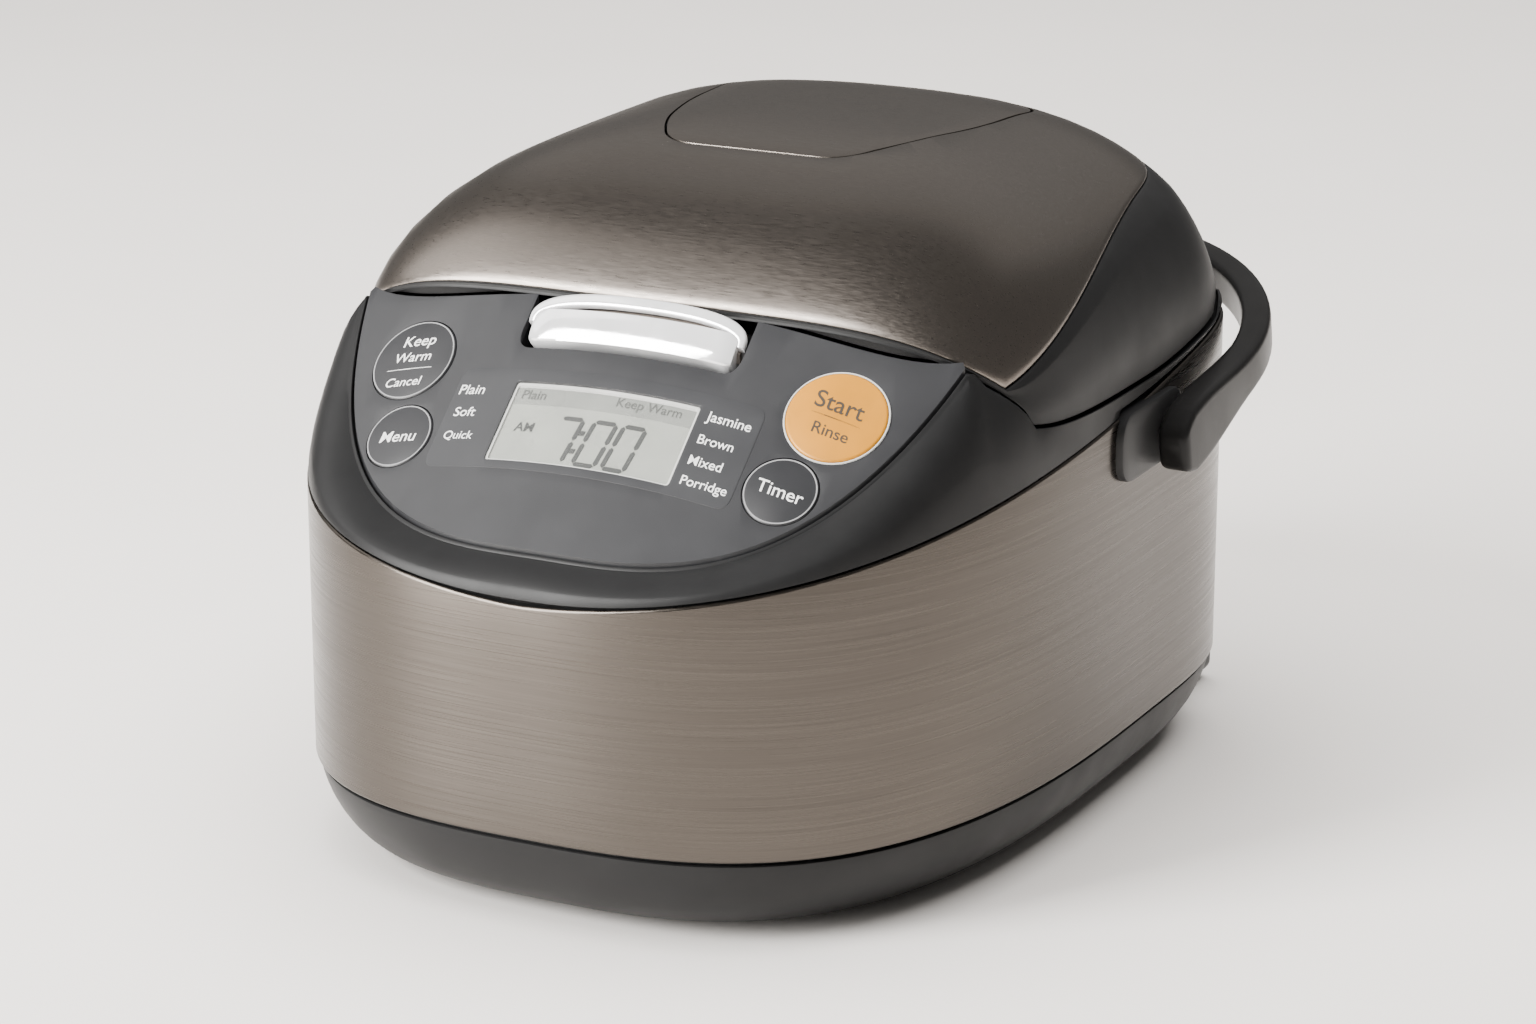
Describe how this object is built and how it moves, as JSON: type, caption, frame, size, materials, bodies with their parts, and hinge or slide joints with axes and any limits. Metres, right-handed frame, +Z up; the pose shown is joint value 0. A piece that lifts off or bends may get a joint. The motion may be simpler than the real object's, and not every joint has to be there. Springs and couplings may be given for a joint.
{
  "type": "rice cooker",
  "caption": "Countertop induction rice cooker with brushed-steel wrap, hinged domed lid, lift-off steam cap, sloping control panel and swing handle.",
  "frame": {"origin": "centre of the whole footprint, handle and cord outlet included, on the surface that the feet stand on", "axes": "+Z up, the control panel faces -Y, +X to the right seen from the front"},
  "size_m": [0.3002, 0.3612, 0.2321],
  "materials": {
    "charcoal": "fine satin moulding",
    "dark_plastic": "matt",
    "brushed_steel": "warm grey-brown tinted steel, satin brushed",
    "chrome": "polished",
    "slate_panel": "satin film with a fine sparkle",
    "gold": "satin metallic gold",
    "window": "clear",
    "lcd": "pale green-grey",
    "rubber": "matt",
    "silicone": "matt",
    "bright_steel": "plain bright",
    "aluminium": "satin",
    "pot_coating": "dark non-stick coating",
    "copper": "enamelled winding",
    "circuit_board": "solder mask"
  },
  "bodies": {
    "body": {"base_cover": "charcoal", "foot_front_left": "rubber", "foot_front_right": "rubber", "foot_rear_left": "rubber", "foot_rear_right": "rubber", "base_screw_1": "bright_steel", "base_screw_2": "bright_steel", "base_screw_3": "bright_steel", "base_screw_4": "bright_steel", "cord_outlet": "charcoal", "power_inlet": "dark_plastic", "steel_wrap": "brushed_steel", "top_collar": "charcoal", "control_panel": "slate_panel", "display_window": "window", "lcd_module": "lcd", "control_board": "circuit_board", "latch_trim": "chrome", "hook_pivot": "bright_steel", "latch_spring": "bright_steel", "hinge_post": "charcoal", "hinge_pin": "bright_steel", "hinge_spring": "bright_steel", "pivot_boss_left": "charcoal", "pivot_boss_right": "charcoal", "inner_case": "dark_plastic", "inner_pot": "pot_coating", "side_heater": "aluminium", "induction_coil": "copper", "ferrite_holder": "dark_plastic", "sensor_spring": "bright_steel", "power_board": "circuit_board", "heat_sink": "aluminium", "fan_housing": "dark_plastic"},
    "lid": {"lid_shell": "charcoal", "lid_skin": "brushed_steel", "lid_liner": "dark_plastic", "lid_catch": "bright_steel", "lid_heater_plate": "aluminium", "inner_lid": "aluminium", "lid_seal": "silicone", "steam_trap": "dark_plastic", "lid_hinge_arms": "bright_steel"},
    "steam_cap": {"steam_cap": "brushed_steel"},
    "handle": {"handle": "charcoal"},
    "latch_button": {"latch_button": "chrome"},
    "latch_hook": {"latch_hook": "bright_steel"},
    "centre_sensor": {"centre_sensor": "aluminium"},
    "fan_rotor": {"fan_rotor": "dark_plastic"},
    "start_button": {"start_button": "gold"},
    "keep_warm_button": {"keep_warm_button": "slate_panel"},
    "menu_button": {"menu_button": "slate_panel"},
    "timer_button": {"timer_button": "slate_panel"}
  },
  "joints": [
    {"name": "lid_hinge", "type": "hinge", "parent": "body", "child": "lid", "pos_m": [0, 0.1338, 0.185], "axis": [-1, 0, 0], "range_deg": [0, 90]},
    {"name": "handle_swing", "type": "hinge", "parent": "body", "child": "handle", "pos_m": [0, 0.0298, 0.1325], "axis": [1, 0, 0], "range_deg": [0, 90]},
    {"name": "steam_cap_lift", "type": "slide", "parent": "lid", "child": "steam_cap", "axis": [0, 0, 1], "range_m": [0, 0.03]},
    {"name": "latch_press", "type": "slide", "parent": "body", "child": "latch_button", "axis": [0, 0, -1], "range_m": [0, 0.003], "stiffness_N_per_m": 600},
    {"name": "hook_release", "type": "hinge", "parent": "body", "child": "latch_hook", "pos_m": [0, -0.0977, 0.1525], "axis": [1, 0, 0], "range_deg": [0, 12]},
    {"name": "sensor_press", "type": "slide", "parent": "body", "child": "centre_sensor", "axis": [0, 0, -1], "range_m": [0, 0.003], "stiffness_N_per_m": 400},
    {"name": "fan_spin", "type": "hinge", "parent": "body", "child": "fan_rotor", "pos_m": [0, -0.1122, 0.019], "axis": [0, 0, 1], "continuous": true},
    {"name": "start_press", "type": "slide", "parent": "body", "child": "start_button", "axis": [-0.1603, 0.6562, -0.7373], "range_m": [0, 0.001], "stiffness_N_per_m": 900},
    {"name": "keep_warm_press", "type": "slide", "parent": "body", "child": "keep_warm_button", "axis": [0.1603, 0.6562, -0.7373], "range_m": [0, 0.001], "stiffness_N_per_m": 900},
    {"name": "menu_press", "type": "slide", "parent": "body", "child": "menu_button", "axis": [0.1439, 0.6579, -0.7392], "range_m": [0, 0.001], "stiffness_N_per_m": 900},
    {"name": "timer_press", "type": "slide", "parent": "body", "child": "timer_button", "axis": [-0.1439, 0.6579, -0.7392], "range_m": [0, 0.001], "stiffness_N_per_m": 900}
  ],
  "couplings": [
    {"joint": "hook_release", "follows": "latch_press", "rad_per_m": 69.23}
  ]
}
